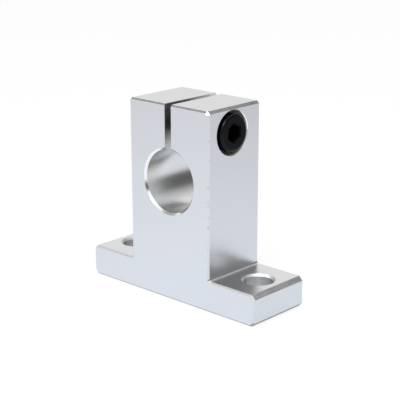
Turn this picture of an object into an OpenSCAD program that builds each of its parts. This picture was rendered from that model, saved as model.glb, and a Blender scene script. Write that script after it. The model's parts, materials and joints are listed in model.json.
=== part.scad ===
// Shaft support block with a foot, a split upright and a clamp screw.
// The shaft runs along Y, the foot lies along X and +Z is up.
// The origin is the middle of the face that the block stands on.

/* [Shaft] */
// Diameter of the shaft and of the bore that holds it
shaft_d = 12; // [8:0.5:16]
// Height of the shaft's axis above the base face
shaft_h = 23; // [20:0.5:30]
// Chamfer at both mouths of the bore
bore_chamfer = 0.4; // [0.1:0.05:0.8]

/* [Block] */
// Thickness of the block along the shaft
block_t = 14; // [12:0.5:24]
// Wall of the upright on each side of the bore
side_wall = 4; // [3:0.25:8]
// Thickness of the foot
foot_h = 6; // [5:0.25:9]

/* [Edges] */
// Chamfer along the long corners of the foot
foot_chamfer = 0.8; // [0.2:0.1:1.2]
// Chamfer along the two top corners of the upright
top_chamfer = 0.5; // [0.2:0.1:0.8]
// Bevel round the outline of the front and back faces
face_bevel = 0.3; // [0.1:0.05:0.5]
// Radius of the fillet where the upright meets the foot
root_fillet = 0.5; // [0.3:0.1:1.2]

/* [Base holes] */
// Distance from the upright's side to a bolt hole's axis
hole_reach = 6; // [5.5:0.25:12]
// Diameter of the bolt holes
hole_d = 5.5; // [4:0.1:6.6]
// Distance from a bolt hole's axis to the end of the foot
hole_edge = 5; // [5:0.25:8]
// Chamfer at both mouths of the bolt holes
hole_chamfer = 0.4; // [0.1:0.05:0.6]

/* [Clamp] */
// Width of the slit that lets the upright close on the shaft
slit_w = 1.6; // [1:0.1:2.5]
// Wall between the bore and the screw's clearance hole
screw_wall = 1.45; // [1.2:0.05:3]
// Wall between the counterbore and the top face
top_wall = 0.7; // [0.6:0.05:3]
// Distance of the screw's axis from the middle of the thickness, towards the front face
screw_shift = 0.6; // [0:0.1:1.5]
// Chamfer at the mouths of the counterbore and the tapped hole
mouth_chamfer = 0.15; // [0.1:0.05:0.5]

/* [Clamp screw] */
// Thread diameter of the screw
screw_d = 4; // [3:0.5:4.5]
// Distance from the screw's tip to the far side of the upright
tip_setback = 4.5; // [1:0.1:5]
// Diameter of the screw's head
head_d = 7; // [6:0.1:7.6]
// Height of the screw's head
head_h = 4; // [3:0.1:4.5]
// Radius that rounds the edge of the head's face
head_round = 0.5; // [0.1:0.05:0.6]
// Width across the flats of the hexagon socket
socket_af = 3; // [2:0.5:4]
// Depth of the hexagon socket
socket_depth = 2; // [1.5:0.1:2.6]
// Chamfer all round the socket's mouth
socket_chamfer = 0.25; // [0.05:0.05:0.3]
// How far the head's face stands out of the side of the block
head_proud = 0.5; // [0:0.05:1]

/* [Clearances] */
// Gap between the screw's head and the counterbore, all round
head_gap = 0.6; // [0.3:0.05:1]
// Gap between the screw and its clearance hole, all round
screw_gap = 0.25; // [0.15:0.05:0.4]
// Gap between the screw's crests and the tapped hole, all round
thread_gap = 0.05; // [0.02:0.01:0.1]

/* [Hidden] */
$fn = 96;
OVER = 1;                                        // how far a cut runs past the face it opens
ROUND_STEPS = 3;                                 // bevels in the rounded edge of the head

upright_w = shaft_d + 2 * side_wall;
hole_spacing = upright_w + 2 * hole_reach;
foot_w = hole_spacing + 2 * hole_edge;
clearance_d = screw_d + 2 * screw_gap;
counterbore_d = head_d + 2 * head_gap;
counterbore_depth = head_h - head_proud;
screw_z = shaft_h + shaft_d / 2 + screw_wall + clearance_d / 2;
block_h = screw_z + counterbore_d / 2 + top_wall;

side_x = upright_w / 2;                          // the upright's side, where the head goes in
seat_x = side_x - counterbore_depth;             // the counterbore's floor, where the head seats
screw_l = seat_x + side_x - tip_setback;         // the screw's length under its head
thread_r = screw_d / 2 - thread_gap;             // the screw's crests
tip_chamfer = screw_d / 8;
socket_cone = socket_af / 4;                     // depth of the drill point below the socket
socket_corner_d = socket_af / cos(30);

// A cut or a solid of revolution laid along X, starting at x and growing towards +X
module along_x(x) {
    translate([x, -screw_shift, screw_z]) rotate([0, 90, 0]) children();
}

// The edge from a to b of a profile in XZ, as a bar that bevels it on the face at y
module edge_cut(a, b, y) {
    run = b - a;
    angle = atan2(run[1], run[0]);
    translate([a[0], y, a[1]])
        rotate([0, -angle, 0])
            rotate([0, 90, 0])
                translate([0, 0, -OVER])
                    cylinder(r = face_bevel, h = norm(run) + 2 * OVER, $fn = 4);
}

// A bar along Y with the convex profile given in XZ, bevelled round both end faces
module bevelled_bar(profile) {
    difference() {
        translate([0, block_t / 2, 0])
            rotate([90, 0, 0])
                linear_extrude(block_t) polygon(profile);
        for (y = [-block_t / 2, block_t / 2])
            for (i = [0 : len(profile) - 1])
                edge_cut(profile[i], profile[(i + 1) % len(profile)], y);
    }
}

// A box profile in XZ, centred on Z, with its bottom and top corners chamfered
function box_profile(w, h, bottom, top) = [
    [-w / 2 + bottom, 0], [w / 2 - bottom, 0], [w / 2, bottom], [w / 2, h - top],
    [w / 2 - top, h], [-w / 2 + top, h], [-w / 2, h - top], [-w / 2, bottom]];

// The fillet between the foot and the side of the upright, bevelled as the faces are
module root_fillet_bar() {
    r = root_fillet;
    difference() {
        translate([side_x - face_bevel, -block_t / 2, foot_h - face_bevel])
            cube([r + face_bevel, block_t, r + face_bevel]);
        translate([side_x + r, 0, foot_h + r])
            rotate([90, 0, 0]) {
                cylinder(r = r, h = block_t + 2 * OVER, center = true);
                for (end = [0, 1])
                    mirror([0, 0, end])
                        translate([0, 0, block_t / 2 - face_bevel])
                            cylinder(r1 = r, r2 = r + face_bevel + OVER, h = face_bevel + OVER);
            }
    }
}

// The foot and the upright before anything is cut into them
module blank() {
    bevelled_bar(box_profile(foot_w, foot_h, foot_chamfer, foot_chamfer));
    bevelled_bar(box_profile(upright_w, block_h, foot_chamfer, top_chamfer));
    for (side = [0, 1]) mirror([side, 0, 0]) root_fillet_bar();
}

// The chamfered mouth at z = 0 of a hole that runs towards +Z
module mouth(d, chamfer) {
    translate([0, 0, -OVER])
        cylinder(d1 = d + 2 * (chamfer + OVER), d2 = d, h = chamfer + OVER);
}

// A round hole right through from z = 0 to z = h, with both mouths chamfered
module through_hole(d, h, chamfer) {
    translate([0, 0, -OVER]) cylinder(d = d, h = h + 2 * OVER);
    mouth(d, chamfer);
    translate([0, 0, h]) mirror([0, 0, 1]) mouth(d, chamfer);
}

module shaft_bore() {
    translate([0, block_t / 2, shaft_h])
        rotate([90, 0, 0]) through_hole(shaft_d, block_t, bore_chamfer);
}

module slit() {
    translate([-slit_w / 2, -block_t / 2 - OVER, shaft_h])
        cube([slit_w, block_t + 2 * OVER, block_h - shaft_h + OVER]);
}

module base_holes() {
    for (side = [-1, 1])
        translate([side * hole_spacing / 2, 0, 0]) through_hole(hole_d, foot_h, hole_chamfer);
}

// Counterbore and clearance hole in one ear, tapped hole through the other
module screw_holes() {
    along_x(0) cylinder(d = clearance_d, h = side_x);
    along_x(seat_x) cylinder(d = counterbore_d, h = counterbore_depth + OVER);
    along_x(side_x) mirror([0, 0, 1]) mouth(counterbore_d, mouth_chamfer);
    along_x(-side_x - OVER) cylinder(d = screw_d, h = side_x + OVER);
    along_x(-side_x) mouth(screw_d, mouth_chamfer);
}

module block() {
    color("gainsboro")
        difference() {
            blank();
            shaft_bore();
            slit();
            base_holes();
            screw_holes();
        }
}

// The rounded edge of a disc of radius r, in ROUND_STEPS bevels
module rounded_edge(r, radius) {
    step = 90 / ROUND_STEPS;
    for (i = [0 : ROUND_STEPS - 1])
        translate([0, 0, radius * sin(i * step)])
            cylinder(r1 = r - radius * (1 - cos(i * step)),
                     r2 = r - radius * (1 - cos((i + 1) * step)),
                     h = radius * (sin((i + 1) * step) - sin(i * step)));
}

// A block bounded by the chamfer along side i of the socket, for a socket opening towards +Z
module socket_side(i) {
    rotate([0, 0, 60 * i + 30])
        translate([socket_af / 2, 0, 0])
            rotate([0, 45, 0])
                translate([-head_d, -head_d, -head_d]) cube([head_d, 2 * head_d, 2 * head_d]);
}

// The chamfered mouth of the socket, the six sides together
module socket_mouth() {
    intersection() {
        socket_side(0);
        socket_side(1);
        socket_side(2);
        socket_side(3);
        socket_side(4);
        socket_side(5);
    }
}

// Socket-head cap screw, seated in the counterbore with its thread in the far ear
module clamp_screw() {
    color("#26272a")
        difference() {
            union() {
                along_x(seat_x - screw_l)
                    cylinder(r1 = thread_r - tip_chamfer, r2 = thread_r, h = tip_chamfer);
                along_x(seat_x - screw_l + tip_chamfer)
                    cylinder(r = thread_r, h = screw_l - tip_chamfer);
                along_x(seat_x) cylinder(d = head_d, h = head_h - head_round);
                along_x(seat_x + head_h - head_round) rounded_edge(head_d / 2, head_round);
            }
            along_x(seat_x + head_h - socket_depth)
                cylinder(d = socket_corner_d, h = socket_depth + OVER, $fn = 6);
            along_x(seat_x + head_h - socket_chamfer) socket_mouth();
            along_x(seat_x + head_h - socket_depth - socket_cone)
                cylinder(d1 = 0, d2 = socket_af, h = socket_cone);
        }
}

block();
clamp_screw();
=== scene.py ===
"""Dresses the shaft support block: the aluminium block, its clamp screw and the stage they stand on."""

import json
import math

import bmesh
import bpy
from mathutils import Matrix, Vector


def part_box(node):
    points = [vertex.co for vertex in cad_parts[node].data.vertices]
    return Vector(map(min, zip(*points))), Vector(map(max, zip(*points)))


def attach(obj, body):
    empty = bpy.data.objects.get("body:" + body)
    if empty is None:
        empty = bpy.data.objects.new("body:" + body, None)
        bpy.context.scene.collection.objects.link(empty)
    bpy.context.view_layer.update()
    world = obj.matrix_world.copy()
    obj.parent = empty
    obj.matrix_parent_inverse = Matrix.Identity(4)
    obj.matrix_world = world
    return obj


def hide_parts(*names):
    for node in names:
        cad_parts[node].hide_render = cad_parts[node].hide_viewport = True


bl_info = {
    "name": "Shaft Support Block",
    "version": (1, 0, 0),
    "blender": (4, 5, 0),
    "location": "View3D > Sidebar > Shaft Support",
    "description": "Builds a split shaft support block with its clamp screw, finishes and stage",
    "category": "Add Mesh",
}

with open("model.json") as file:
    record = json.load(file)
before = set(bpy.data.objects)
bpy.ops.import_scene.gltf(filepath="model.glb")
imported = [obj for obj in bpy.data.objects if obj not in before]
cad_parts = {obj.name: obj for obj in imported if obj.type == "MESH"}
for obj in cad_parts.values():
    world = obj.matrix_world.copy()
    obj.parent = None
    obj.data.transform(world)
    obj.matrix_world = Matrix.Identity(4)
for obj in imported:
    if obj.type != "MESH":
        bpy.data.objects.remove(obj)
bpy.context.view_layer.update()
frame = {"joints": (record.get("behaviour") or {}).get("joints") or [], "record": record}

BLOCK_LOW, BLOCK_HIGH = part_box("block")
SCREW_LOW, SCREW_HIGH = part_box("clamp_screw")
MOUNTS = {mount["name"]: mount for mount in frame["record"]["mounts"]}
BORE = MOUNTS["shaft_bore"]
HOLES = MOUNTS["base_holes"]["dims"]
JOINT = frame["joints"][0]

MM = 0.001
OVER = 1 * MM                      # how far a cutter runs past the face it opens
WELD = 0.0002 * MM                 # points closer than this are one point

BORE_Z = BORE["pos_m"][2]
BORE_RADIUS = BORE["dims"]["r_mm"] * MM
HOLE_RADIUS = HOLES["hole_r_mm"] * MM
HOLE_X = HOLES["spacing_x_mm"] * MM / 2       # from the middle to a bolt hole's axis
SEAT_X, SCREW_Y, SCREW_Z = JOINT["pos_m"]     # where the screw's head seats, on its axis
HEAD_RADIUS = (SCREW_HIGH.y - SCREW_LOW.y) / 2

BORE_SIDES = 192                   # facets round the bore
COUNTERBORE_SIDES = 128            # facets round the counterbore and its clearance hole
HEAD_SIDES = 144                   # facets round the screw's head
HOLE_SIDES = 96                    # facets round a smaller hole
QUARTER_STEPS = 8                  # facets in a quarter of a rounded edge
SHARP_ANGLE = 30                   # degrees between two faces that meet in a hard edge
GAP_EDGES = 8                      # a gap in a mesh with up to this many edges is closed


# -------------------------------- sizes and colours


def length(name, description, millimetres):
    """A length with its default in millimetres."""
    return bpy.props.FloatProperty(
        name=name, description=description, default=millimetres * MM,
        min=0, precision=5, unit="LENGTH")


def colour(name, description, default):
    return bpy.props.FloatVectorProperty(
        name=name, description=description, default=default,
        size=4, min=0, max=1, subtype="COLOR")


def factor(name, description, default):
    return bpy.props.FloatProperty(
        name=name, description=description, default=default,
        min=0, max=1, subtype="FACTOR")


def place_in_room(name, description, default):
    return bpy.props.FloatVectorProperty(
        name=name, description=description, default=default,
        size=3, precision=4, unit="LENGTH", subtype="TRANSLATION")


class BlockSizes(bpy.types.PropertyGroup):
    """Sizes of the block that its box and mounts don't give."""

    foot_h: length("Foot height", "Thickness of the foot", 6)
    upright_w: length("Upright width", "Width of the upright", 20)
    foot_chamfer: length("Foot chamfer", "Chamfer along the long corners of the foot", 0.8)
    top_chamfer: length("Top chamfer", "Chamfer along the top corners of the upright", 0.5)
    face_bevel: length("Face bevel", "Bevel round the front and back faces", 0.3)
    root_fillet: length("Root fillet", "Radius where the upright meets the foot", 0.5)
    bore_chamfer: length("Bore chamfer", "Chamfer at both mouths of the bore", 0.4)
    hole_chamfer: length("Hole chamfer", "Chamfer at both mouths of the bolt holes", 0.4)
    mouth_chamfer: length("Mouth chamfer", "Chamfer of the counterbore and tapped hole", 0.15)
    slit_w: length("Slit width", "Width of the slit above the bore", 1.6)
    counterbore_d: length("Counterbore", "Diameter of the counterbore for the head", 8.2)
    clearance_d: length("Clearance hole", "Diameter of the hole in the near ear", 4.5)
    tapped_d: length("Tapped hole", "Diameter over the roots of the tapped thread", 4)
    tapped_core_d: length("Tapped core", "Diameter over the crests of the tapped thread", 3.24)


class ScrewSizes(bpy.types.PropertyGroup):
    """Sizes of the clamp screw that its box doesn't give."""

    thread_d: length("Thread diameter", "Diameter over the screw's crests", 3.9)
    thread_depth: length("Thread depth", "Depth of the thread's groove", 0.42)
    pitch: length("Pitch", "Distance from one turn of the thread to the next", 0.7)
    head_round: length("Head rounding", "Radius of the edge of the head's face", 0.5)
    socket_af: length("Socket width", "Width across the flats of the socket", 3)
    socket_depth: length("Socket depth", "Depth of the hexagon socket", 2)
    socket_chamfer: length("Socket chamfer", "Chamfer of the socket's mouth", 0.25)
    knurl_depth: length("Knurl depth", "Depth of the grooves round the head", 0.1)
    knurl_count: bpy.props.IntProperty(
        name="Knurl grooves", description="Number of grooves round the head",
        default=48, min=8, max=96)


class FinishColours(bpy.types.PropertyGroup):
    """Colours and glosses of the metal."""

    sawn: colour("Sawn aluminium", "Front and back faces", (0.765, 0.775, 0.81, 1))
    drawn: colour("Drawn aluminium", "Sides, top and foot", (0.73, 0.74, 0.765, 1))
    reamed: colour("Reamed aluminium", "Inside the bore", (0.75, 0.76, 0.77, 1))
    # the bore's front half is lighter as painted light
    bore_painted_light: colour("Reamed, front", "Inside the bore's front half", (0.87, 0.875, 0.875, 1))
    bored: colour("Bored aluminium", "Inside the bolt holes", (0.84, 0.85, 0.85, 1))
    # on the counterbore's mouth, the bright upper half is painted light and the countersunk lower half
    # painted shade
    bright: colour("Bright aluminium", "Mouths of the bore, upper half of the screw holes'",
                   (0.93, 0.935, 0.94, 1))
    countersunk: colour("Countersunk", "Mouths of the bolt holes, lower half of the screw holes'",
                        (0.70, 0.70, 0.70, 1))
    # the top chamfers and the foot's corner facets are darker as painted shade
    milled: colour("Milled", "Chamfers along the top of the upright", (0.53, 0.535, 0.54, 1))
    chamfered: colour("Chamfered", "Chamfers along the ends of the foot", (0.83, 0.84, 0.865, 1))
    scored: colour("Scored", "The cutter's marks on the foot's chamfers", (0.67, 0.68, 0.70, 1))
    edge: colour("Edges", "Bevels round the front and back faces", (0.735, 0.745, 0.765, 1))
    # the foot's upward bevels are lighter as painted light; their dull spots are wear
    worn: colour("Worn", "Bevels along the top of the foot", (0.80, 0.80, 0.81, 1))
    # the bevels that face the floor are darker as painted shade
    shaded: colour("Lower edges", "Bevels that face the floor", (0.42, 0.42, 0.42, 1))
    drilled: colour("Drilled aluminium", "Inside the screw's holes", (0.93, 0.93, 0.93, 1))
    slotted: colour("Slotted aluminium", "Walls of the slit", (0.93, 0.93, 0.93, 1))
    # the slit's walls take painted light near the bore and painted shade along the back of their top
    # edge
    slit_painted_light: colour("Slotted, low", "Walls of the slit near the bore", (0.985, 0.985, 0.985, 1))
    slit_painted_shade: colour("Slit's top edge", "Top of the slit's walls, to the back", (0.68, 0.68, 0.68, 1))
    steel: colour("Black steel", "Blackened steel of the screw", (0.0015, 0.0016, 0.002, 1))
    steel_tint: colour("Steel's reflection", "Tint of what the screw reflects", (0.84, 0.85, 1, 1))
    drawn_gloss: factor("Drawn roughness", "Roughness of the drawn faces", 0.32)
    sawn_gloss: factor("Sawn roughness", "Roughness of the front and back faces", 0.38)
    reamed_gloss: factor("Reamed roughness", "Roughness of the bore", 0.28)
    bored_gloss: factor("Bored roughness", "Roughness of the bolt holes", 0.30)
    bright_gloss: factor("Cut roughness", "Roughness of the freshly cut mouths", 0.17)
    drilled_gloss: factor("Drilled roughness", "Roughness of the screw's holes", 0.7)
    slotted_gloss: factor("Slotted roughness", "Roughness of the slit's walls", 0.19)
    steel_gloss: factor("Steel roughness", "Roughness of the blackened steel", 0.20)
    edge_gloss: factor("Edge roughness", "Roughness of the bevels", 0.24)
    milled_gloss: factor("Milled roughness", "Roughness of the top chamfers", 0.2)
    countersunk_gloss: factor("Countersink roughness", "Roughness of mouths and worn bevels", 0.48)
    head_shine: factor("Head shine", "How much the screw's head and thread reflect", 0.09)
    # the socket reflects less as painted shade; the rim reflects more as wear and a painted highlight
    socket_painted_shade: factor("Socket shine", "How much the screw's socket reflects", 0.03)
    rim_shine: factor("Rim shine", "How much the head's worn rim reflects", 0.2)


class StageLayout(bpy.types.PropertyGroup):
    """Camera, floor and light."""

    azimuth: bpy.props.FloatProperty(
        name="Azimuth", description="Camera's bearing, from the front towards the screw's side",
        default=math.radians(43.018), subtype="ANGLE")
    elevation: bpy.props.FloatProperty(
        name="Elevation", description="Camera's height as an angle",
        default=math.radians(16.674), subtype="ANGLE")
    roll: bpy.props.FloatProperty(
        name="Roll", description="Camera's turn about its own axis",
        default=math.radians(-0.12), subtype="ANGLE")
    distance: length("Distance", "From the camera to the point it looks at", 213.217)
    aim_side: length("Aim, sideways", "Point looked at, to the right of the middle", 1.033)
    aim_height: length("Aim, height", "Point looked at, above the base", 17.969)
    lens: bpy.props.FloatProperty(
        name="Lens", description="Focal length in millimetres on a 36 mm sensor",
        default=101.31, min=10)
    floor_size: length("Floor size", "Length of the floor's side", 3000)
    # the pool is light painted on the floor, which the metal reflects and which tints the light bounced
    # off it
    pool_inner: length("Pool, inner", "Distance at which the floor's light begins to fade", 20)
    pool_outer: length("Pool, outer", "Distance at which the floor's light has faded", 330)
    pool: colour("Pool", "The floor near the block, as the metal sees it", (0.84, 0.88, 0.935, 1))
    pool_edge: colour("Pool edge", "The floor far away, as the metal sees it", (0.72, 0.71, 0.705, 1))
    sky: colour("Sky", "Light of the surrounding room", (0.98, 0.97, 0.945, 1))
    horizon: colour("Horizon", "Light of the room just above the floor", (0.77, 0.77, 0.76, 1))
    wall_bearing: bpy.props.FloatProperty(
        name="Wall bearing", description="Bearing of the unlit wall, from the back to the right",
        default=math.radians(45), subtype="ANGLE")
    lens_colour: colour("Lens", "The camera, as the metal sees it", (0.10, 0.10, 0.10, 1))
    flag: colour("Dark side", "The unlit part of the room behind the block", (0.12, 0.12, 0.115, 1))
    left_flag: colour("Left side", "The half-lit part of the room, upper left", (0.40, 0.40, 0.40, 1))
    softbox_size: length("Softbox size", "Length of the softbox's side", 150)
    softbox_power: bpy.props.FloatProperty(
        name="Softbox power", description="Power of the softbox's light", default=1.1,
        min=0, unit="POWER")
    softbox_place: place_in_room("Softbox", "Where the softbox stands", (0.166, -0.221, 0.40))
    softbox_aim: place_in_room("Softbox's aim", "The point that the softbox lights", (0, 0, 0.02))


# -------------------------------- mesh tools


def new_object(name, mesh):
    piece = bpy.data.objects.new(name, mesh)
    bpy.context.scene.collection.objects.link(piece)
    return piece


def mesh_object(name, bm):
    """Welds a bmesh, turns its faces outwards and makes an object of it."""
    bmesh.ops.remove_doubles(bm, verts=bm.verts, dist=WELD)
    bmesh.ops.dissolve_degenerate(bm, dist=WELD, edges=bm.edges)
    bmesh.ops.recalc_face_normals(bm, faces=bm.faces)
    mesh = bpy.data.meshes.new(name)
    bm.to_mesh(mesh)
    bm.free()
    return new_object(name, mesh)


def apply_modifiers(piece):
    """Turns a piece into a plain mesh with its modifiers applied."""
    graph = bpy.context.evaluated_depsgraph_get()
    mesh = bpy.data.meshes.new_from_object(piece.evaluated_get(graph))
    old = piece.data
    piece.modifiers.clear()
    piece.data = mesh
    bpy.data.meshes.remove(old)
    return piece


def combine(piece, tool, operation):
    """Adds a tool to a piece or cuts it out, and removes the tool."""
    modifier = piece.modifiers.new(operation, "BOOLEAN")
    modifier.operation = operation
    modifier.solver = "EXACT"
    modifier.object = tool
    apply_modifiers(piece)
    old = tool.data
    bpy.data.objects.remove(tool)
    bpy.data.meshes.remove(old)
    return piece


def cut(piece, *tools):
    for tool in tools:
        combine(piece, tool, "DIFFERENCE")
    return piece


def weld(piece):
    """Joins points that touch, closes the small gaps that are left and turns the faces outwards."""
    bm = bmesh.new()
    bm.from_mesh(piece.data)
    bmesh.ops.remove_doubles(bm, verts=bm.verts, dist=WELD)
    bmesh.ops.dissolve_degenerate(bm, dist=WELD, edges=bm.edges)
    loose = [vert for vert in bm.verts if not vert.link_faces]
    bmesh.ops.delete(bm, geom=loose, context="VERTS")
    bmesh.ops.holes_fill(bm, edges=[edge for edge in bm.edges if edge.is_boundary],
                         sides=GAP_EDGES)
    bmesh.ops.recalc_face_normals(bm, faces=bm.faces)
    bm.to_mesh(piece.data)
    bm.free()
    return piece


def skin(bm, rings):
    """Makes a closed solid of a stack of rings of points."""
    count = len(rings[0])
    for low, high in zip(rings, rings[1:]):
        for i in range(count):
            j = (i + 1) % count
            bm.faces.new((low[i], low[j], high[j], high[i]))
    bm.faces.new(rings[0])
    bm.faces.new(rings[-1])


def revolve(name, outline, axis, origin, sides, start=0.0):
    """A closed solid of revolution. outline lists (distance along the axis, radius)."""
    turn = Vector(axis).to_track_quat("Z", "Y").to_matrix().to_4x4()
    place = Matrix.Translation(origin) @ turn
    bm = bmesh.new()
    rings = []
    for along, radius in outline:
        ring = []
        for i in range(sides):
            angle = start + 2 * math.pi * i / sides
            point = Vector((radius * math.cos(angle), radius * math.sin(angle), along))
            ring.append(bm.verts.new(place @ point))
        rings.append(ring)
    skin(bm, rings)
    return mesh_object(name, bm)


def turned(name, outline, sides, start=0.0):
    """A closed solid of revolution about the screw's axis. outline lists (x, radius)."""
    return revolve(name, outline, (1, 0, 0), (0, SCREW_Y, SCREW_Z), sides, start)


def smooth(piece):
    """Smooth shading with hard edges at the sharp angles, ruled by the larger faces."""
    mesh = piece.data
    mesh.polygons.foreach_set("use_smooth", [True] * len(mesh.polygons))
    mesh.set_sharp_from_angle(angle=math.radians(SHARP_ANGLE))
    weighted = piece.modifiers.new("weighted", "WEIGHTED_NORMAL")
    weighted.keep_sharp = True
    return apply_modifiers(piece)


def quarter_round(radius):
    """Points of a quarter of a rounded edge, as their distances from its two flanks."""
    angles = [math.pi / 2 * i / QUARTER_STEPS for i in range(QUARTER_STEPS + 1)]
    return [(radius * (1 - math.sin(angle)), radius * (1 - math.cos(angle))) for angle in angles]


def offset_inwards(points, distance):
    """A closed outline, given anticlockwise, moved inwards by a distance."""
    moved = []
    count = len(points)
    for i in range(count):
        before, here, after = points[i - 1], points[i], points[(i + 1) % count]
        first = (here - before).normalized()
        second = (after - here).normalized()
        normal_a = Vector((-first.y, first.x))
        normal_b = Vector((-second.y, second.x))
        moved.append(here + (normal_a + normal_b) * distance / (1 + normal_a.dot(normal_b)))
    return moved


# -------------------------------- node tools


def feed(tree, sockets, values):
    """Links each input to its value where that is a socket, and sets it where it isn't."""
    for socket, value in zip(sockets, values):
        if isinstance(value, bpy.types.NodeSocket):
            tree.links.new(value, socket)
        else:
            socket.default_value = value


def math_node(tree, operation, *values):
    node = tree.nodes.new("ShaderNodeMath")
    node.operation = operation
    feed(tree, node.inputs, values)
    return node.outputs[0]


def vector_node(tree, operation, *values):
    node = tree.nodes.new("ShaderNodeVectorMath")
    node.operation = operation
    feed(tree, node.inputs, values)
    return node.outputs["Value" if operation in ("DOT_PRODUCT", "LENGTH") else "Vector"]


def mix_colour(tree, share, first, second):
    """The first colour where the share is 0, and the second where it is 1."""
    node = tree.nodes.new("ShaderNodeMix")
    node.data_type = "RGBA"
    feed(tree, [node.inputs[name] for name in ("Factor", "A", "B")], [share, first, second])
    return node.outputs["Result"]


def fade_between(tree, value, low, high, shape="SMOOTHSTEP"):
    """0 where a value is under low, 1 where it is over high, and a soft step between."""
    fade = tree.nodes.new("ShaderNodeMapRange")
    fade.interpolation_type = shape
    fade.inputs["From Min"].default_value = low
    fade.inputs["From Max"].default_value = high
    tree.links.new(value, fade.inputs["Value"])
    return fade.outputs["Result"]


def fade_along(tree, axis, low, high):
    """0 where a coordinate is under low, 1 where it is over high."""
    place = tree.nodes.new("ShaderNodeTexCoord")
    parts = tree.nodes.new("ShaderNodeSeparateXYZ")
    tree.links.new(place.outputs["Object"], parts.inputs["Vector"])
    return fade_between(tree, parts.outputs[axis], low, high)


def paint(tree, share, first, second):
    """Mixes a metal's colour from two, as mix_colour does."""
    tone = mix_colour(tree, share, first, second)
    tree.links.new(tone, tree.nodes["Principled BSDF"].inputs["Base Color"])


# -------------------------------- the block


def block_outline(sizes):
    """The block's section across the shaft, in X and Z, anticlockwise from the lower left."""
    half_foot, half_upright = BLOCK_HIGH.x, sizes.upright_w / 2
    top, foot = BLOCK_HIGH.z, sizes.foot_h
    c, t = sizes.foot_chamfer, sizes.top_chamfer
    right = [(half_foot - c, 0), (half_foot, c), (half_foot, foot - c), (half_foot - c, foot)]
    right += [(half_upright + x, foot + z) for x, z in quarter_round(sizes.root_fillet)]
    right += [(half_upright, top - t), (half_upright - t, top)]
    left = [(-x, z) for x, z in reversed(right)]
    return [Vector(point) for point in right + left]


def block_blank(sizes):
    """The drawn section cut to length, with the outline of both cut faces bevelled."""
    outline = block_outline(sizes)
    inner = offset_inwards(outline, sizes.face_bevel)
    half = BLOCK_HIGH.y
    rings_at = [(-half, inner), (-half + sizes.face_bevel, outline),
                (half - sizes.face_bevel, outline), (half, inner)]
    bm = bmesh.new()
    skin(bm, [[bm.verts.new((p.x, y, p.y)) for p in points] for y, points in rings_at])
    return mesh_object("support_block", bm)


def through_outline(start, end, radius, chamfer):
    """The outline of a cutter for a through hole with both mouths chamfered."""
    wide = radius + chamfer + OVER
    return [(start - OVER, wide), (start + chamfer, radius), (end - chamfer, radius), (end + OVER, wide)]


def bore_tool(sizes):
    outline = through_outline(BLOCK_LOW.y, BLOCK_HIGH.y, BORE_RADIUS, sizes.bore_chamfer)
    return revolve("bore", outline, (0, 1, 0), (0, 0, BORE_Z), BORE_SIDES)


def slit_tool(sizes):
    """The slit, from the bore's axis up through the top."""
    low = BORE_Z
    high = BLOCK_HIGH.z + OVER
    half = BLOCK_HIGH.y + OVER
    bm = bmesh.new()
    bmesh.ops.create_cube(bm, size=1)
    bmesh.ops.scale(bm, vec=(sizes.slit_w, 2 * half, high - low), verts=bm.verts)
    bmesh.ops.translate(bm, vec=(0, 0, (low + high) / 2), verts=bm.verts)
    return mesh_object("slit", bm)


def base_hole_tools(sizes):
    outline = through_outline(0, sizes.foot_h, HOLE_RADIUS, sizes.hole_chamfer)
    return [revolve("base_hole", outline, (0, 0, 1), (x, 0, 0), HOLE_SIDES) for x in (-HOLE_X, HOLE_X)]


def head_hole_tool(sizes):
    """Clearance hole, counterbore and its chamfered mouth, from the slit to the block's side."""
    side = sizes.upright_w / 2
    clearance, counterbore = sizes.clearance_d / 2, sizes.counterbore_d / 2
    chamfer = sizes.mouth_chamfer
    outline = [(0, clearance), (SEAT_X, clearance), (SEAT_X, counterbore),
               (side - chamfer, counterbore), (side + OVER, counterbore + chamfer + OVER)]
    return turned("head_hole", outline, COUNTERBORE_SIDES)


def tapped_hole_tools(sizes, screw):
    """The plain stretch that the screw fills, the open thread past its tip and the mouth."""
    side = -sizes.upright_w / 2
    tip = SCREW_LOW.x
    radius = sizes.tapped_d / 2
    chamfer = sizes.mouth_chamfer
    wide = radius + WELD * 10      # just clear of the thread's crests, so the two don't coincide
    plain = turned("plain_stretch", [(tip - screw.pitch / 2, wide), (0, wide)], HOLE_SIDES)
    depth = (sizes.tapped_d - sizes.tapped_core_d) / 2
    thread = threaded_rod("open_thread", radius, depth, screw.pitch, side - OVER, tip)
    inwards = 1.1 * depth          # the mouth's cone ends a little inside the thread's core
    mouth = turned("mouth", [(side - OVER, radius + chamfer + OVER),
                             (side + chamfer + inwards, radius - inwards)], HOLE_SIDES)
    return [plain, thread, mouth]


# -------------------------------- the clamp screw


def build_tree(name, inputs):
    """A geometry node tree with named float inputs and a material, and its group nodes."""
    tree = bpy.data.node_groups.new(name, "GeometryNodeTree")
    for label in inputs:
        tree.interface.new_socket(name=label, in_out="INPUT", socket_type="NodeSocketFloat")
    tree.interface.new_socket(name="Material", in_out="INPUT", socket_type="NodeSocketMaterial")
    tree.interface.new_socket(name="Geometry", in_out="OUTPUT", socket_type="NodeSocketGeometry")
    return tree, tree.nodes.new("NodeGroupInput"), tree.nodes.new("NodeGroupOutput")


def end_tree(tree, group_in, group_out, geometry):
    """Closes a tree with Realize Instances and Set Material."""
    link = tree.links.new
    realize = tree.nodes.new("GeometryNodeRealizeInstances")
    coat = tree.nodes.new("GeometryNodeSetMaterial")
    link(geometry, realize.inputs["Geometry"])
    link(realize.outputs["Geometry"], coat.inputs["Geometry"])
    link(group_in.outputs["Material"], coat.inputs["Material"])
    link(coat.outputs["Geometry"], group_out.inputs["Geometry"])


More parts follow.
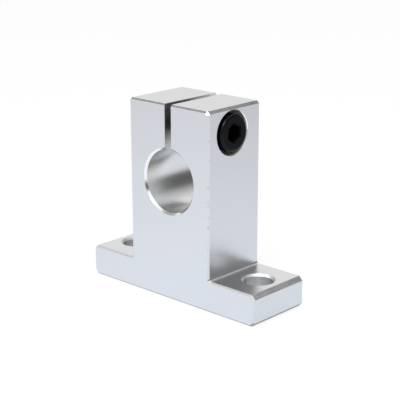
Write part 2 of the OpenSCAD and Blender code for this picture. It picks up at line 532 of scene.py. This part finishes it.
def run_tree(name, tree, values):
    """Runs a tree on an empty mesh with the values of its named inputs; returns a plain object.

    Its material stays empty, because each tree makes a tool or a part that its piece finishes.
    """
    piece = new_object(name, bpy.data.meshes.new(name))
    modifier = piece.modifiers.new(name, "NODES")
    modifier.node_group = tree
    sockets = {item.name: item.identifier for item in tree.interface.items_tree
               if item.in_out == "INPUT"}
    for label, value in values.items():
        modifier[sockets[label]] = value
    return apply_modifiers(piece)


THREAD_ROWS = 16                   # rows of points for each turn of a thread
THREAD_SIDES = 64                  # points round a thread
ROW_SLACK = 0.001                  # keeps a whole turn's row from rounding into the turn before
CREST, ROOT_START, ROOT_END = 2 / 16, 7 / 16, 11 / 16     # shares of the pitch


def thread_tree(turns):
    """A rod along +X with a right-handed thread whose ends run out into its core."""
    tree, group_in, group_out = build_tree(
        "thread", ["Radius", "Depth", "Pitch", "Start", "End", "Side", "Height"])
    link = tree.links.new
    socket = group_in.outputs
    rows = (math.ceil(turns) + 2) * THREAD_ROWS + 3

    grid = tree.nodes.new("GeometryNodeMeshGrid")
    grid.inputs["Size X"].default_value = 1
    grid.inputs["Size Y"].default_value = rows - 1
    grid.inputs["Vertices X"].default_value = THREAD_SIDES + 1
    grid.inputs["Vertices Y"].default_value = rows
    position = tree.nodes.new("GeometryNodeInputPosition")
    parts = tree.nodes.new("ShaderNodeSeparateXYZ")
    link(position.outputs[0], parts.inputs[0])
    turn = math_node(tree, "ADD", parts.outputs["X"], 0.5)
    row = math_node(tree, "ROUND", math_node(tree, "ADD", parts.outputs["Y"], (rows - 1) / 2))

    # the distance along the axis: a row climbs by one pitch as it goes once round
    climb = math_node(tree, "SUBTRACT", math_node(tree, "DIVIDE", row, THREAD_ROWS), 1)
    climb = math_node(tree, "MULTIPLY", math_node(tree, "ADD", climb, turn), socket["Pitch"])
    along = math_node(tree, "ADD", climb, socket["Start"])
    along = math_node(tree, "MAXIMUM", along, socket["Start"])
    along = math_node(tree, "MINIMUM", along, socket["End"])

    # the groove: flat crest, sloping flank, flat root and flank again
    nudged = math_node(tree, "ADD", row, ROW_SLACK)
    phase = math_node(tree, "FRACT", math_node(tree, "DIVIDE", nudged, THREAD_ROWS))
    down = math_node(tree, "DIVIDE", math_node(tree, "SUBTRACT", phase, CREST), ROOT_START - CREST)
    up = math_node(tree, "DIVIDE", math_node(tree, "SUBTRACT", 1, phase), 1 - ROOT_END)
    groove = math_node(tree, "MINIMUM", math_node(tree, "MINIMUM", down, up), 1)
    groove = math_node(tree, "MAXIMUM", groove, 0)
    radius = math_node(tree, "SUBTRACT", socket["Radius"],
                       math_node(tree, "MULTIPLY", groove, socket["Depth"]))

    # both ends taper to the core, and the first and last rows close them
    core = math_node(tree, "SUBTRACT", socket["Radius"], socket["Depth"])
    from_start = math_node(tree, "ADD", core, math_node(tree, "SUBTRACT", along, socket["Start"]))
    from_end = math_node(tree, "ADD", core, math_node(tree, "SUBTRACT", socket["End"], along))
    radius = math_node(tree, "MINIMUM", radius, math_node(tree, "MINIMUM", from_start, from_end))
    inside = math_node(tree, "MULTIPLY", math_node(tree, "GREATER_THAN", row, 0.5),
                       math_node(tree, "LESS_THAN", row, rows - 1.5))
    radius = math_node(tree, "MULTIPLY", radius, inside)

    angle = math_node(tree, "MULTIPLY", turn, 2 * math.pi)
    point = tree.nodes.new("ShaderNodeCombineXYZ")
    link(along, point.inputs["X"])
    side = math_node(tree, "MULTIPLY", radius, math_node(tree, "COSINE", angle))
    link(math_node(tree, "ADD", side, socket["Side"]), point.inputs["Y"])
    height = math_node(tree, "MULTIPLY", radius, math_node(tree, "SINE", angle))
    link(math_node(tree, "ADD", height, socket["Height"]), point.inputs["Z"])
    place = tree.nodes.new("GeometryNodeSetPosition")
    link(grid.outputs["Mesh"], place.inputs["Geometry"])
    link(point.outputs[0], place.inputs["Position"])
    merge = tree.nodes.new("GeometryNodeMergeByDistance")
    merge.inputs["Distance"].default_value = WELD
    link(place.outputs["Geometry"], merge.inputs["Geometry"])
    end_tree(tree, group_in, group_out, merge.outputs["Geometry"])
    return tree


def threaded_rod(name, radius, depth, pitch, start, end):
    """A closed threaded rod on the screw's axis, from start to end along X."""
    tree = thread_tree((end - start) / pitch)
    rod = run_tree(name, tree, {
        "Radius": radius, "Depth": depth, "Pitch": pitch,
        "Start": start, "End": end, "Side": SCREW_Y, "Height": SCREW_Z})
    return weld(rod)


def knurl_tree():
    """A ring of square bars laid along X on edge, one for each groove of a knurl."""
    tree, group_in, group_out = build_tree(
        "knurl", ["Ring Radius", "Groove Depth", "Start", "End", "Side", "Height", "Count"])
    link = tree.links.new
    socket = group_in.outputs
    ring = tree.nodes.new("GeometryNodeMeshCircle")
    link(socket["Count"], ring.inputs["Vertices"])
    link(socket["Ring Radius"], ring.inputs["Radius"])

    bar = tree.nodes.new("GeometryNodeMeshCylinder")
    bar.inputs["Vertices"].default_value = 4
    link(socket["Groove Depth"], bar.inputs["Radius"])
    link(math_node(tree, "SUBTRACT", socket["End"], socket["Start"]), bar.inputs["Depth"])

    position = tree.nodes.new("GeometryNodeInputPosition")
    align = tree.nodes.new("FunctionNodeAlignEulerToVector")
    align.axis = "X"
    link(position.outputs[0], align.inputs["Vector"])
    place = tree.nodes.new("GeometryNodeInstanceOnPoints")
    link(ring.outputs["Mesh"], place.inputs["Points"])
    link(bar.outputs["Mesh"], place.inputs["Instance"])
    link(align.outputs["Rotation"], place.inputs["Rotation"])

    # the ring stands about Z, so it is turned to lie about X and moved to the head
    middle = math_node(tree, "MULTIPLY", math_node(tree, "ADD", socket["Start"], socket["End"]), 0.5)
    offset = tree.nodes.new("ShaderNodeCombineXYZ")
    link(middle, offset.inputs["X"])
    link(socket["Side"], offset.inputs["Y"])
    link(socket["Height"], offset.inputs["Z"])
    realize = tree.nodes.new("GeometryNodeRealizeInstances")
    move = tree.nodes.new("GeometryNodeTransform")
    move.inputs["Rotation"].default_value = (0, math.pi / 2, 0)
    link(place.outputs["Instances"], realize.inputs["Geometry"])
    link(realize.outputs["Geometry"], move.inputs["Geometry"])
    link(offset.outputs[0], move.inputs["Translation"])
    end_tree(tree, group_in, group_out, move.outputs["Geometry"])
    return tree


def screw_head(sizes):
    """The head with its rounded rim, its knurl and its hexagon socket."""
    face = SCREW_HIGH.x
    under = sizes.head_round / 4         # the bevel where the head seats
    outline = [(SEAT_X, HEAD_RADIUS - under), (SEAT_X + under, HEAD_RADIUS)]
    outline += [(face - x, HEAD_RADIUS - y) for x, y in quarter_round(sizes.head_round)]
    head = turned("clamp_screw_body", outline, HEAD_SIDES)
    grooves = run_tree("knurl", knurl_tree(), {
        "Ring Radius": HEAD_RADIUS, "Groove Depth": sizes.knurl_depth,
        "Start": SEAT_X - OVER, "End": face - sizes.head_round,
        "Side": SCREW_Y, "Height": SCREW_Z, "Count": sizes.knurl_count})
    weld(cut(head, grooves))
    return cut(head, *socket_tools(sizes))


def socket_tools(sizes):
    """The hexagon socket, the drill point at its bottom and its chamfered mouth."""
    face = SCREW_HIGH.x
    floor = face - sizes.socket_depth
    corner = sizes.socket_af / math.sqrt(3)
    point = sizes.socket_af / 4
    tip = 0.001 * MM               # radius at the drill point's tip, which closes it
    chamfer = sizes.socket_chamfer
    hexagon = turned("hexagon", [(floor, corner), (face + OVER, corner)], 6, start=math.pi / 2)
    drill = turned("drill_point", [(floor - point, tip), (floor, sizes.socket_af / 2),
                                   (floor + point, sizes.socket_af / 2)], HOLE_SIDES)
    wide = corner + (chamfer + OVER) / math.cos(math.pi / 6)
    mouth = turned("socket_mouth", [(face - chamfer, corner), (face + OVER, wide)], 6,
                   start=math.pi / 2)
    return [hexagon, drill, mouth]


# -------------------------------- finishes


SPOTS = 700                        # dull spots to a metre
SPOT_EDGE = 0.56, 0.68             # where in the noise a dull spot begins, and where it is full
RELIEF_DEPTH = 0.01 * MM           # how far a grain of full relief stands up
EVEN = (3000, 3000, 3000)          # a fine grain with no direction

# the block's finishes, in the order of its material slots: the gloss that each takes, how fast its
# grain changes along X, Y and Z, how much its roughness varies, its relief and its mottle
BLOCK_FINISHES = {
    "drawn": ("drawn_gloss", (9000, 500, 9000), 0.04, 0.05, 0),       # faint lines along the shaft
    "sawn": ("sawn_gloss", (900, 900, 5000), 0.05, 0.06, 0),          # an even satin, marked across
    "reamed": ("reamed_gloss", (500, 6000, 500), 0.01, 0.0005, 0),    # smooth, with fine tool rings
    "bored": ("bored_gloss", (700, 700, 9000), 0.04, 0.05, 0),        # smooth, with rings round it
    "drilled": ("drilled_gloss", (4000, 4000, 4000), 0.05, 0.08, 0),  # dull, with the drill's marks
    "slotted": ("slotted_gloss", (900, 900, 6000), 0.03, 0.03, 0),    # glossy from the slitting saw
    "bright": ("bright_gloss", EVEN, 0.03, 0.03, 0),                  # the countersink's fresh cut, and painted light on the counterbore's upper mouth
    "countersunk": ("countersunk_gloss", EVEN, 0.04, 0.05, 0),        # chattered by the countersink, and painted shade on the counterbore's lower mouth
    "milled": ("milled_gloss", (3000, 700, 3000), 0.04, 0.05, 0.2),   # darker than the faces, as painted shade
    "chamfered": ("drawn_gloss", (2400, 350, 2400), 0.05, 0.05, 0),   # scored along its length
    "edge": ("edge_gloss", EVEN, 0.04, 0.05, 0.2),                    # broken by hand, with nicks
    "worn": ("countersunk_gloss", EVEN, 0.04, 0.05, 0.15),            # lighter than the other bevels as painted light, with dull nicks from wear
    "shaded": ("drawn_gloss", EVEN, 0.05, 0.05, 0),                   # darker, as painted shade from the floor below
}


def metal(name, base, roughness, lay, grain, relief, metallic=1.0, mottle=0.0):
    """A metal with a fine grain, which changes along X, Y and Z as fast as lay says.

    grain is how much its roughness varies, relief how strongly the grain stands up, from 0 to 1,
    and mottle how much darker its soft dull spots are.
    """
    material = bpy.data.materials.new(name)
    material.use_nodes = True
    tree = material.node_tree
    link = tree.links.new
    shader = tree.nodes["Principled BSDF"]
    shader.inputs["Base Color"].default_value = base
    shader.inputs["Metallic"].default_value = metallic
    place = tree.nodes.new("ShaderNodeTexCoord")
    stretch = tree.nodes.new("ShaderNodeMapping")
    stretch.inputs["Scale"].default_value = lay
    noise = tree.nodes.new("ShaderNodeTexNoise")
    noise.inputs["Scale"].default_value = 1
    noise.inputs["Detail"].default_value = 3
    link(place.outputs["Object"], stretch.inputs["Vector"])
    link(stretch.outputs["Vector"], noise.inputs["Vector"])
    spread = tree.nodes.new("ShaderNodeMapRange")
    spread.inputs["To Min"].default_value = roughness - grain
    spread.inputs["To Max"].default_value = roughness + grain
    link(noise.outputs["Fac"], spread.inputs["Value"])
    link(spread.outputs["Result"], shader.inputs["Roughness"])
    if mottle:
        patches = tree.nodes.new("ShaderNodeTexNoise")
        patches.inputs["Scale"].default_value = SPOTS
        patches.inputs["Detail"].default_value = 2
        link(place.outputs["Object"], patches.inputs["Vector"])
        worn = fade_between(tree, patches.outputs["Fac"], *SPOT_EDGE)
        dull = [channel * (1 - mottle) for channel in base[:3]] + [1]
        link(mix_colour(tree, worn, base, dull), shader.inputs["Base Color"])
    bump = tree.nodes.new("ShaderNodeBump")
    bump.inputs["Strength"].default_value = relief
    bump.inputs["Distance"].default_value = RELIEF_DEPTH
    link(noise.outputs["Fac"], bump.inputs["Height"])
    link(bump.outputs["Normal"], shader.inputs["Normal"])
    return material


def paint_light_in_bore(tree, colours):
    """Paints light on the bore, brighter towards its front mouth."""
    start = 3.5 * MM                             # from the front face
    end = 2.5 * MM                               # past the middle
    depth = fade_along(tree, "Y", BLOCK_LOW.y + start, end)
    paint(tree, depth, colours.bore_painted_light, colours.reamed)


def paint_light_and_shade_in_slit(tree, colours):
    """Paints light on the slit's walls near the bore, and paints shade along the back of their top edge.
    """
    low_start, low_end = 6.5 * MM, 4.5 * MM      # below the top
    edge_start, edge_end = 1.6 * MM, 1.0 * MM    # below the top
    front = 3 * MM                               # from the front face
    rise = fade_along(tree, "Z", BLOCK_HIGH.z - low_start, BLOCK_HIGH.z - low_end)
    walls = mix_colour(tree, rise, colours.slit_painted_light, colours.slotted)
    high = fade_along(tree, "Z", BLOCK_HIGH.z - edge_start, BLOCK_HIGH.z - edge_end)
    behind = fade_along(tree, "Y", BLOCK_LOW.y + front, 0)
    paint(tree, math_node(tree, "MULTIPLY", high, behind), walls, colours.slit_painted_shade)


def score_chamfer(tree, colours):
    """Draws the cutter's marks along the chamfer, where its grain is high."""
    clean, marked = 0.42, 0.58
    marks = fade_between(tree, tree.nodes["Noise Texture"].outputs["Fac"], clean, marked)
    paint(tree, marks, colours.chamfered, colours.scored)


def block_metals(colours):
    """The block's metals by finish, in the order of its material slots."""
    metals = {}
    for finish, (gloss, lay, grain, relief, mottle) in BLOCK_FINISHES.items():
        metals[finish] = metal(f"{finish}_aluminium", getattr(colours, finish),
                               getattr(colours, gloss), lay, grain, relief, mottle=mottle)
    paint_light_in_bore(metals["reamed"].node_tree, colours)
    paint_light_and_shade_in_slit(metals["slotted"].node_tree, colours)
    score_chamfer(metals["chamfered"].node_tree, colours)
    return metals


# how much of a face's normal lies along an axis
SQUARE = 0.999                     # above this the face is square to the axis
LENGTHWAYS = 0.1                   # below this the face runs along the axis
SLOPED, STEEP = 0.3, 0.6           # above these the face slopes towards the axis, a little or much


def block_finish(polygon, sizes):
    """The finish of a face of the block, by where it is and which way it faces."""
    centre, normal = polygon.center, polygon.normal
    slack = 0.01 * MM
    from_bore = math.hypot(centre.x, centre.z - BORE_Z)
    from_hole = math.hypot(abs(centre.x) - HOLE_X, centre.y)
    from_screw = math.hypot(centre.y - SCREW_Y, centre.z - SCREW_Z)
    if abs(normal.y) < SQUARE and from_bore < BORE_RADIUS + sizes.bore_chamfer + slack:
        return "reamed" if abs(normal.y) < LENGTHWAYS else "bright"
    if abs(normal.z) < SQUARE and from_hole < HOLE_RADIUS + sizes.hole_chamfer + slack:
        return "bored" if abs(normal.z) < LENGTHWAYS else "countersunk"
    if abs(centre.x) < sizes.slit_w / 2 + slack and abs(normal.x) > SQUARE:
        return "slotted"
    inside_ear = sizes.slit_w / 2 + slack < abs(centre.x) < sizes.upright_w / 2 - slack
    if inside_ear and from_screw < sizes.counterbore_d / 2 + sizes.mouth_chamfer:
        at_mouth = abs(centre.x) > sizes.upright_w / 2 - sizes.mouth_chamfer
        if at_mouth and centre.z < BLOCK_HIGH.z - sizes.top_chamfer:
            # the mouth's upper half is lighter as painted light, its lower half darker as painted shade
            return "bright" if centre.z > SCREW_Z else "countersunk"
        if not at_mouth:
            return "drilled"
    if abs(normal.y) > SQUARE:
        return "sawn"
    # bevels facing the floor take painted shade
    if normal.z < -SLOPED:
        return "shaded"
    if abs(normal.y) > SLOPED:
        if centre.z > sizes.foot_h + sizes.face_bevel or normal.z < SLOPED:
            return "edge"
        # the foot's upward bevels take the worn metal, lighter as painted light
        return "milled" if abs(normal.x) > SLOPED else "worn"
    # the top chamfers take the milled metal, darker as painted shade, like the foot's corner facets
    # above
    if min(abs(normal.x), normal.z) > STEEP:
        return "milled" if centre.z > BLOCK_HIGH.z - sizes.top_chamfer else "chamfered"
    return "drawn"


def black_steel(name, colours, shine):
    """Blackened steel with a soft gloss. shine is how much it reflects."""
    material = metal(name, colours.steel, colours.steel_gloss,
                     lay=(4000, 4000, 4000), grain=0.06, relief=0.08, metallic=0.0)
    shader = material.node_tree.nodes["Principled BSDF"]
    shader.inputs["Specular IOR Level"].default_value = shine
    shader.inputs["Specular Tint"].default_value = colours.steel_tint
    return material


def screw_metals(colours):
    """The screw's metals by finish: its socket reflects less, as painted shade, and its rim more, as
    wear and a painted highlight.
    """
    return {
        "plain": black_steel("blackened_steel", colours, colours.head_shine),
        "socket": black_steel("socket_steel", colours, colours.socket_painted_shade),
        "rim": black_steel("rim_steel", colours, colours.rim_shine),
    }


def screw_finish(polygon, sizes):
    """The finish of a face of the screw, by where it is and which way it faces."""
    centre, normal = polygon.center, polygon.normal
    from_axis = math.hypot(centre.y - SCREW_Y, centre.z - SCREW_Z)
    if centre.x < SCREW_HIGH.x - sizes.socket_depth or normal.x > SQUARE:
        return "plain"
    # the socket's walls reflect less, as painted shade
    if from_axis < HEAD_RADIUS - sizes.head_round:
        lower_chamfer = normal.x > SLOPED and normal.z > SLOPED
        return "plain" if lower_chamfer else "socket"
    # the rim reflects more, as wear and a painted highlight
    return "rim" if centre.x > SCREW_HIGH.x - sizes.head_round else "plain"


def dress(piece, sizes, metals, finish_of):
    """Gives each face of a piece the metal of its finish."""
    order = list(metals)
    mesh = piece.data
    mesh.materials.clear()
    for material in metals.values():
        mesh.materials.append(material)
    for polygon in mesh.polygons:
        polygon.material_index = order.index(finish_of(polygon, sizes))


# -------------------------------- the stage


SENSOR = 36                        # the sensor's width in millimetres
WHITE = (1, 1, 1, 1)
PAPER_GLOW = 0.85                  # share of the paper that glows, where it is seen
PAPER_GLOSS_GLOW = 0.45            # the same, where metal reflects it: a painted glow
WALL_SIDES = 32, 60                # degrees to each side of its bearing: fully dark, and lit again
WALL_TOP = 32, 54                  # degrees above the floor: fully dark, and lit again
LEFT_PLACE = (-0.65, -0.29, 0.70)  # direction of the half-lit part
LEFT_SPREAD = 8, 30                # degrees round it: fully dimmed, and lit again
LENS_DROP = 0.1                    # how low the camera's body hangs, as a share of its distance
LENS_SPREAD = 4, 15                # degrees round it: fully dark, and lit again
SKY_RISE = 0.4                     # how far up the room's light is at its brightest


def camera_axes(layout):
    """The camera's right, up and backward directions."""
    azimuth, elevation, roll = layout.azimuth, layout.elevation, layout.roll
    level = Vector((math.cos(azimuth), math.sin(azimuth), 0))
    back = Vector((math.sin(azimuth) * math.cos(elevation),
                   -math.cos(azimuth) * math.cos(elevation), math.sin(elevation)))
    upright = back.cross(level)
    right = level * math.cos(roll) + upright * math.sin(roll)
    up = upright * math.cos(roll) - level * math.sin(roll)
    return right, up, back, level


def add_camera(layout):
    right, up, back, level = camera_axes(layout)
    aim = level * layout.aim_side + Vector((0, 0, layout.aim_height))
    data = bpy.data.cameras.new("camera")
    data.sensor_width = SENSOR
    data.lens = layout.lens
    data.clip_start = 1 * MM
    camera = bpy.data.objects.new("camera", data)
    turn = Matrix((right, up, back)).transposed().to_4x4()
    camera.matrix_world = Matrix.Translation(aim + back * layout.distance) @ turn
    bpy.context.scene.collection.objects.link(camera)
    bpy.context.scene.camera = camera


def add_floor(layout):
    bm = bmesh.new()
    bmesh.ops.create_grid(bm, x_segments=1, y_segments=1, size=layout.floor_size / 2)
    mesh = bpy.data.meshes.new("floor")
    bm.to_mesh(mesh)
    bm.free()
    mesh.materials.append(floor_material(layout))
    new_object("floor", mesh)


def floor_material(layout):
    """Pale matte paper with a painted pool of light that glows in reflections: white where it is seen,
    and it keeps the shadow.
    """
    material = bpy.data.materials.new("paper")
    material.use_nodes = True
    tree = material.node_tree
    link = tree.links.new
    tree.nodes.clear()
    output = tree.nodes.new("ShaderNodeOutputMaterial")

    # the painted pool of light fades away from the block
    place = tree.nodes.new("ShaderNodeTexCoord")
    reach = vector_node(tree, "LENGTH", place.outputs["Object"])
    fade = fade_between(tree, reach, layout.pool_inner, layout.pool_outer)
    pool = mix_colour(tree, fade, layout.pool, layout.pool_edge)

    seen = tree.nodes.new("ShaderNodeLightPath")
    direct = math_node(tree, "MAXIMUM", seen.outputs["Is Camera Ray"],
                       seen.outputs["Is Transmission Ray"])
    glossy = math_node(tree, "MULTIPLY", seen.outputs["Is Glossy Ray"], PAPER_GLOSS_GLOW)
    share = math_node(tree, "MAXIMUM", math_node(tree, "MULTIPLY", direct, PAPER_GLOW), glossy)
    tone = mix_colour(tree, direct, pool, WHITE)
    paper = tree.nodes.new("ShaderNodeBsdfDiffuse")
    link(tone, paper.inputs["Color"])
    white = tree.nodes.new("ShaderNodeEmission")
    link(tone, white.inputs["Color"])
    mix = tree.nodes.new("ShaderNodeMixShader")
    link(share, mix.inputs["Fac"])
    link(paper.outputs[0], mix.inputs[1])
    link(white.outputs[0], mix.inputs[2])
    link(mix.outputs[0], output.inputs["Surface"])
    return material


def soft_patch(tree, direction, centre, inner, outer):
    """1 within an angle of a direction, 0 outside a wider one, with a soft edge between."""
    dot = vector_node(tree, "DOT_PRODUCT", direction, Vector(centre).normalized())
    return fade_between(tree, dot, math.cos(math.radians(outer)), math.cos(math.radians(inner)))


def dark_wall(tree, direction, layout):
    """1 on the unlit wall, which spans a range of bearings up to a height."""
    level = vector_node(tree, "NORMALIZE", vector_node(tree, "MULTIPLY", direction, (1, 1, 0)))
    bearing = Vector((math.sin(layout.wall_bearing), math.cos(layout.wall_bearing), 0))
    across = soft_patch(tree, level, bearing, *WALL_SIDES)
    rise = vector_node(tree, "DOT_PRODUCT", direction, (0, 0, 1))
    low, high = [math.sin(math.radians(angle)) for angle in WALL_TOP]
    above = fade_between(tree, rise, low, high, "LINEAR")
    return math_node(tree, "MULTIPLY", across, math_node(tree, "SUBTRACT", 1, above))


def add_world(layout):
    """A pale room, dimmer at the horizon, unlit behind the block and half lit at the upper left."""
    world = bpy.data.worlds.new("room")
    bpy.context.scene.world = world
    world.use_nodes = True
    tree = world.node_tree
    place = tree.nodes.new("ShaderNodeTexCoord")
    direction = place.outputs["Generated"]
    rise = vector_node(tree, "DOT_PRODUCT", direction, (0, 0, 1))
    light = mix_colour(tree, fade_between(tree, rise, 0, SKY_RISE), layout.horizon, layout.sky)
    half = soft_patch(tree, direction, LEFT_PLACE, *LEFT_SPREAD)
    light = mix_colour(tree, half, light, layout.left_flag)
    light = mix_colour(tree, dark_wall(tree, direction, layout), light, layout.flag)
    body = camera_axes(layout)[2] - Vector((0, 0, LENS_DROP))
    lens = soft_patch(tree, direction, body, *LENS_SPREAD)
    light = mix_colour(tree, lens, light, layout.lens_colour)
    tree.links.new(light, tree.nodes["Background"].inputs["Color"])


def add_softbox(layout):
    data = bpy.data.lights.new("softbox", "AREA")
    data.size = layout.softbox_size
    data.energy = layout.softbox_power
    lamp = bpy.data.objects.new("softbox", data)
    stand = Vector(layout.softbox_place)
    turn = (Vector(layout.softbox_aim) - stand).to_track_quat("-Z", "Y").to_matrix().to_4x4()
    lamp.matrix_world = Matrix.Translation(stand) @ turn
    bpy.context.scene.collection.objects.link(lamp)


# -------------------------------- operators


class SHAFTBLOCK_OT_stage(bpy.types.Operator):
    """Add the camera, the floor, the room and the lamp"""

    bl_idname = "shaftblock.stage"
    bl_label = "Stage"

    def execute(self, context):
        layout = context.scene.shaftblock_stage
        add_camera(layout)
        add_floor(layout)
        add_world(layout)
        add_softbox(layout)
        return {"FINISHED"}


class SHAFTBLOCK_OT_block(bpy.types.Operator):
    """Build the one-piece aluminium block"""

    bl_idname = "shaftblock.block"
    bl_label = "Block"

    def execute(self, context):
        scene = context.scene
        sizes, screw = scene.shaftblock_block, scene.shaftblock_screw
        piece = block_blank(sizes)
        cut(piece, bore_tool(sizes), slit_tool(sizes), *base_hole_tools(sizes))
        cut(piece, head_hole_tool(sizes), *tapped_hole_tools(sizes, screw))
        dress(piece, sizes, block_metals(scene.shaftblock_finish), block_finish)
        smooth(piece)
        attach(piece, "block")
        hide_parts("block")
        return {"FINISHED"}


class SHAFTBLOCK_OT_clamp_screw(bpy.types.Operator):
    """Build the socket-head clamp screw"""

    bl_idname = "shaftblock.clamp_screw"
    bl_label = "Clamp Screw"

    def execute(self, context):
        scene = context.scene
        sizes = scene.shaftblock_screw
        piece = screw_head(sizes)
        rod = threaded_rod("shank", sizes.thread_d / 2, sizes.thread_depth, sizes.pitch,
                           SCREW_LOW.x, SEAT_X + sizes.pitch)
        weld(combine(piece, rod, "UNION"))
        dress(piece, sizes, screw_metals(scene.shaftblock_finish), screw_finish)
        smooth(piece)
        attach(piece, "clamp_screw")
        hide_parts("clamp_screw")
        return {"FINISHED"}


class SHAFTBLOCK_PT_panel(bpy.types.Panel):
    """Sizes, finishes and pieces of the shaft support block"""

    bl_idname = "SHAFTBLOCK_PT_panel"
    bl_label = "Shaft Support Block"
    bl_space_type = "VIEW_3D"
    bl_region_type = "UI"
    bl_category = "Shaft Support"

    def draw(self, context):
        for name in GROUPS:
            group = getattr(context.scene, name)
            box = self.layout.box()
            box.label(text=group.bl_rna.name)
            for key in group.__annotations__:
                box.prop(group, key)
        for operator in OPERATORS:
            self.layout.operator(operator.bl_idname)


GROUPS = {
    "shaftblock_block": BlockSizes,
    "shaftblock_screw": ScrewSizes,
    "shaftblock_finish": FinishColours,
    "shaftblock_stage": StageLayout,
}
OPERATORS = (SHAFTBLOCK_OT_stage, SHAFTBLOCK_OT_block, SHAFTBLOCK_OT_clamp_screw)


def register():
    for name, group in GROUPS.items():
        bpy.utils.register_class(group)
        setattr(bpy.types.Scene, name, bpy.props.PointerProperty(type=group))
    for item in (*OPERATORS, SHAFTBLOCK_PT_panel):
        bpy.utils.register_class(item)


def unregister():
    for item in (SHAFTBLOCK_PT_panel, *reversed(OPERATORS)):
        bpy.utils.unregister_class(item)
    for name, group in reversed(GROUPS.items()):
        delattr(bpy.types.Scene, name)
        bpy.utils.unregister_class(group)


def main():
    register()
    bpy.context.scene.view_settings.view_transform = "Standard"
    bpy.ops.shaftblock.stage()
    bpy.ops.shaftblock.block()
    bpy.ops.shaftblock.clamp_screw()


if __name__ == "__main__":
    main()
